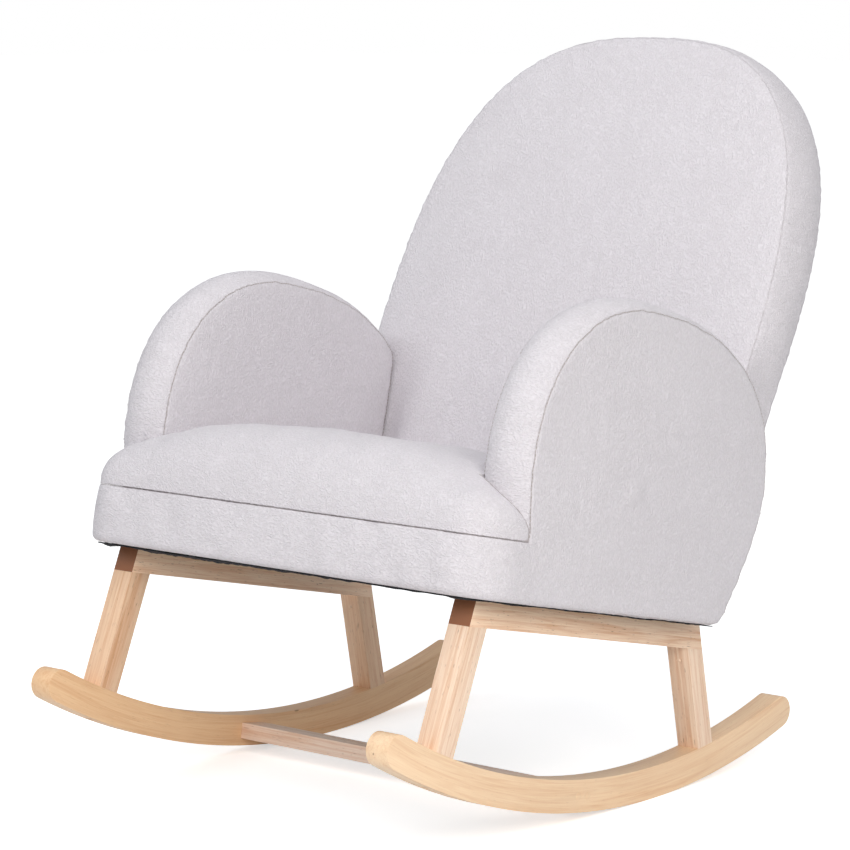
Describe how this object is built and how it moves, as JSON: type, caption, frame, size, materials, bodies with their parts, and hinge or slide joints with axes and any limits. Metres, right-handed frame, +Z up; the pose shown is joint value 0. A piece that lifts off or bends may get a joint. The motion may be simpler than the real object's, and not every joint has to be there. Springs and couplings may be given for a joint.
{
  "type": "upholstered rocking chair",
  "caption": "Upholstered rocking chair with a tall arched back, arched padded arms and a crowned seat, on a pale wooden base with curved rockers and a flat stretcher.",
  "frame": {"origin": "the point on the floor midway between the two lines where the rockers touch it, with the chair standing still", "axes": "+X to the sitter's left, +Y to the rear, +Z up from the floor"},
  "size_m": [0.696, 0.9875, 0.9552],
  "materials": {
    "rail_wood": "satin clear lacquer over rubberwood with fine pores",
    "leg_wood": "satin clear lacquer over pale wood",
    "rocker_wood": "satin clear lacquer over laminated pale wood",
    "stretcher_wood": "satin clear lacquer over pinkish wood",
    "plywood": "raw plywood",
    "steel": "zinc plated",
    "cover_cloth": "matt off-white crinkled woven cloth over foam",
    "black_cloth": "matt black non-woven cloth and webbing"
  },
  "bodies": {
    "root": {"rail_left": "rail_wood", "rail_right": "rail_wood", "leg_front_left": "leg_wood", "leg_front_right": "leg_wood", "leg_rear_left": "leg_wood", "leg_rear_right": "leg_wood", "rocker_left": "rocker_wood", "rocker_right": "rocker_wood", "stretcher": "stretcher_wood", "leg_dowels": "leg_wood", "rocker_screws": "steel", "stretcher_screws": "steel", "rail_bolts": "steel", "rail_washers": "steel", "rail_inserts": "steel", "seat_front_board": "plywood", "seat_rear_board": "plywood", "seat_side_board_left": "plywood", "seat_side_board_right": "plywood", "corner_blocks": "leg_wood", "corner_block_screws": "steel", "seat_springs": "steel", "spring_clips": "steel", "dust_cover": "black_cloth", "dust_cover_staples": "steel", "seat_front_pad": "cover_cloth", "seat_cushion": "cover_cloth", "arm_outer_board_left": "plywood", "arm_outer_board_right": "plywood", "arm_inner_board_left": "plywood", "arm_inner_board_right": "plywood", "arm_spacers_left": "leg_wood", "arm_spacers_right": "leg_wood", "arm_outer_pad_left": "cover_cloth", "arm_outer_pad_right": "cover_cloth", "arm_inner_pad_left": "cover_cloth", "arm_inner_pad_right": "cover_cloth", "arm_band_pad_left": "cover_cloth", "arm_band_pad_right": "cover_cloth", "arm_bolts": "steel", "arm_bolt_washers": "steel", "back_stile_left": "plywood", "back_stile_right": "plywood", "back_bottom_rail": "plywood", "back_middle_rail": "plywood", "back_top_arch": "plywood", "back_webbing": "black_cloth", "back_bolts": "steel", "back_bolt_washers": "steel", "back_front_pad": "cover_cloth", "back_edge_pad": "cover_cloth", "back_outside_pad": "cover_cloth"}
  },
  "joints": []
}
